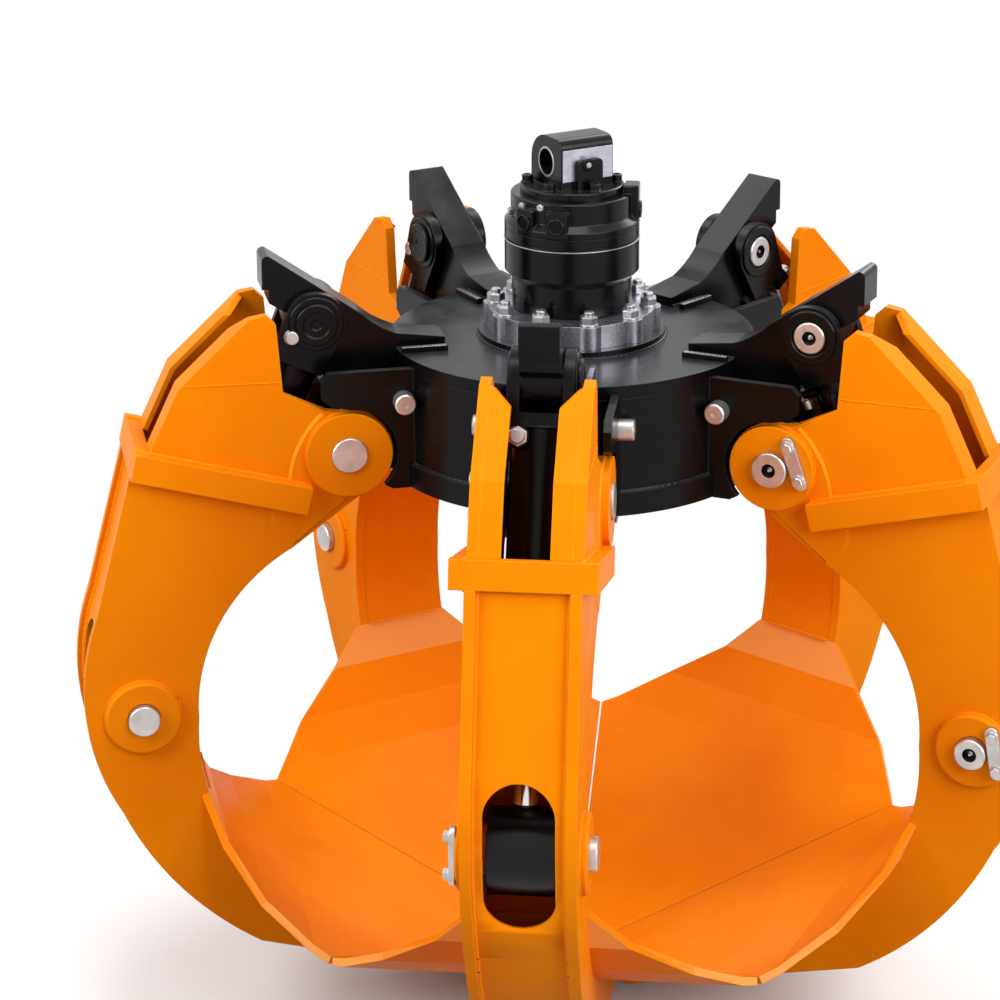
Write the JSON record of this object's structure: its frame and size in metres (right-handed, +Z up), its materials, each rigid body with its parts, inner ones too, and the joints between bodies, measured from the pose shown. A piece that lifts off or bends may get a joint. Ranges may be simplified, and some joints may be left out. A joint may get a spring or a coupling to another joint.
{
  "type": "hydraulic orange peel grapple",
  "caption": "Rotating orange peel grapple with a lobed rotator flange, a drum hub and hinged box-section tines that close into a bowl, each worked by its own hydraulic cylinder.",
  "frame": {"origin": "centre of the suspension eye's bore", "axes": "+X along the suspension eye's bore, +Z up along the rotator's axis, +Y completing the right-handed frame; tine_1 points at -126 degrees from +X and the others follow anticlockwise every 72 degrees"},
  "size_m": [1.8874, 1.7949, 1.739],
  "materials": {
    "tine_orange": "semi-gloss",
    "hub_black": "semi-gloss",
    "rotator_black": "gloss",
    "zinc": "zinc plated",
    "steel": "machined",
    "chrome_rod": "polished"
  },
  "bodies": {
    "rotator": {"suspension_eye": "rotator_black", "head_bolts": "rotator_black", "rotator_head": "rotator_black", "port_fittings": "zinc", "rotator_stator": "rotator_black"},
    "carrier": {"rotor_shaft": "rotator_black", "rotor_vanes": "steel", "adapter_ring": "hub_black", "flange_nuts": "steel", "hub_top_plate": "hub_black", "hub_shell": "hub_black", "hub_bottom_plate": "hub_black", "oil_manifold": "steel", "bracket_lugs": "hub_black", "bracket_sides": "hub_black", "upper_pins": "zinc", "stop_pins": "zinc"},
    "tine_1": {"tine_1_cheeks": "tine_orange", "tine_1_box_plates": "tine_orange", "tine_1_leaf": "tine_orange", "tine_1_pins": "zinc"},
    "barrel_1": {"cylinder_1_barrel": "hub_black"},
    "rod_1": {"cylinder_1_rod": "chrome_rod"},
    "tine_2": {"tine_2_cheeks": "tine_orange", "tine_2_box_plates": "tine_orange", "tine_2_leaf": "tine_orange", "tine_2_pins": "zinc"},
    "barrel_2": {"cylinder_2_barrel": "hub_black"},
    "rod_2": {"cylinder_2_rod": "chrome_rod"},
    "tine_3": {"tine_3_cheeks": "tine_orange", "tine_3_box_plates": "tine_orange", "tine_3_leaf": "tine_orange", "tine_3_pins": "zinc"},
    "barrel_3": {"cylinder_3_barrel": "hub_black"},
    "rod_3": {"cylinder_3_rod": "chrome_rod"},
    "tine_4": {"tine_4_cheeks": "tine_orange", "tine_4_box_plates": "tine_orange", "tine_4_leaf": "tine_orange", "tine_4_pins": "zinc"},
    "barrel_4": {"cylinder_4_barrel": "hub_black"},
    "rod_4": {"cylinder_4_rod": "chrome_rod"},
    "tine_5": {"tine_5_cheeks": "tine_orange", "tine_5_box_plates": "tine_orange", "tine_5_leaf": "tine_orange", "tine_5_pins": "zinc"},
    "barrel_5": {"cylinder_5_barrel": "hub_black"},
    "rod_5": {"cylinder_5_rod": "chrome_rod"}
  },
  "joints": [
    {"name": "rotator_turn", "type": "hinge", "parent": "rotator", "child": "carrier", "pos_m": [0, 0, -0.2], "axis": [0, 0, 1], "continuous": true},
    {"name": "tine_1_pivot", "type": "hinge", "parent": "carrier", "child": "tine_1", "pos_m": [-0.2645, -0.36406, -0.519], "axis": [-0.809, 0.5878, 0], "range_deg": [0, 50]},
    {"name": "cylinder_1_swing", "type": "hinge", "parent": "carrier", "child": "barrel_1", "pos_m": [-0.29389, -0.40451, -0.277], "axis": [-0.809, 0.5878, 0], "range_deg": [0, 40.6]},
    {"name": "cylinder_1_stroke", "type": "slide", "parent": "barrel_1", "child": "rod_1", "axis": [-0.2522, -0.3471, -0.9033], "range_m": [-0.1706, 0]},
    {"name": "tine_2_pivot", "type": "hinge", "parent": "carrier", "child": "tine_2", "pos_m": [0.2645, -0.36406, -0.519], "axis": [-0.809, -0.5878, 0], "range_deg": [0, 50]},
    {"name": "cylinder_2_swing", "type": "hinge", "parent": "carrier", "child": "barrel_2", "pos_m": [0.29389, -0.40451, -0.277], "axis": [-0.809, -0.5878, 0], "range_deg": [0, 40.6]},
    {"name": "cylinder_2_stroke", "type": "slide", "parent": "barrel_2", "child": "rod_2", "axis": [0.2522, -0.3471, -0.9033], "range_m": [-0.1706, 0]},
    {"name": "tine_3_pivot", "type": "hinge", "parent": "carrier", "child": "tine_3", "pos_m": [0.42797, 0.13906, -0.519], "axis": [0.309, -0.9511, 0], "range_deg": [0, 50]},
    {"name": "cylinder_3_swing", "type": "hinge", "parent": "carrier", "child": "barrel_3", "pos_m": [0.47553, 0.15451, -0.277], "axis": [0.309, -0.9511, 0], "range_deg": [0, 40.6]},
    {"name": "cylinder_3_stroke", "type": "slide", "parent": "barrel_3", "child": "rod_3", "axis": [0.408, 0.1326, -0.9033], "range_m": [-0.1706, 0]},
    {"name": "tine_4_pivot", "type": "hinge", "parent": "carrier", "child": "tine_4", "pos_m": [0, 0.45, -0.519], "axis": [1, 0, 0], "range_deg": [0, 50]},
    {"name": "cylinder_4_swing", "type": "hinge", "parent": "carrier", "child": "barrel_4", "pos_m": [0, 0.5, -0.277], "axis": [1, 0, 0], "range_deg": [0, 40.6]},
    {"name": "cylinder_4_stroke", "type": "slide", "parent": "barrel_4", "child": "rod_4", "axis": [0, 0.429, -0.9033], "range_m": [-0.1706, 0]},
    {"name": "tine_5_pivot", "type": "hinge", "parent": "carrier", "child": "tine_5", "pos_m": [-0.42797, 0.13906, -0.519], "axis": [0.309, 0.9511, 0], "range_deg": [0, 50]},
    {"name": "cylinder_5_swing", "type": "hinge", "parent": "carrier", "child": "barrel_5", "pos_m": [-0.47553, 0.15451, -0.277], "axis": [0.309, 0.9511, 0], "range_deg": [0, 40.6]},
    {"name": "cylinder_5_stroke", "type": "slide", "parent": "barrel_5", "child": "rod_5", "axis": [-0.408, 0.1326, -0.9033], "range_m": [-0.1706, 0]}
  ],
  "couplings": [
    {"joint": "cylinder_1_swing", "follows": "tine_1_pivot", "ratio": 0.80917},
    {"joint": "cylinder_1_stroke", "follows": "tine_1_pivot", "m_per_rad": -0.19509},
    {"joint": "cylinder_2_swing", "follows": "tine_2_pivot", "ratio": 0.80917},
    {"joint": "cylinder_2_stroke", "follows": "tine_2_pivot", "m_per_rad": -0.19509},
    {"joint": "cylinder_3_swing", "follows": "tine_3_pivot", "ratio": 0.80917},
    {"joint": "cylinder_3_stroke", "follows": "tine_3_pivot", "m_per_rad": -0.19509},
    {"joint": "cylinder_4_swing", "follows": "tine_4_pivot", "ratio": 0.80917},
    {"joint": "cylinder_4_stroke", "follows": "tine_4_pivot", "m_per_rad": -0.19509},
    {"joint": "cylinder_5_swing", "follows": "tine_5_pivot", "ratio": 0.80917},
    {"joint": "cylinder_5_stroke", "follows": "tine_5_pivot", "m_per_rad": -0.19509}
  ]
}
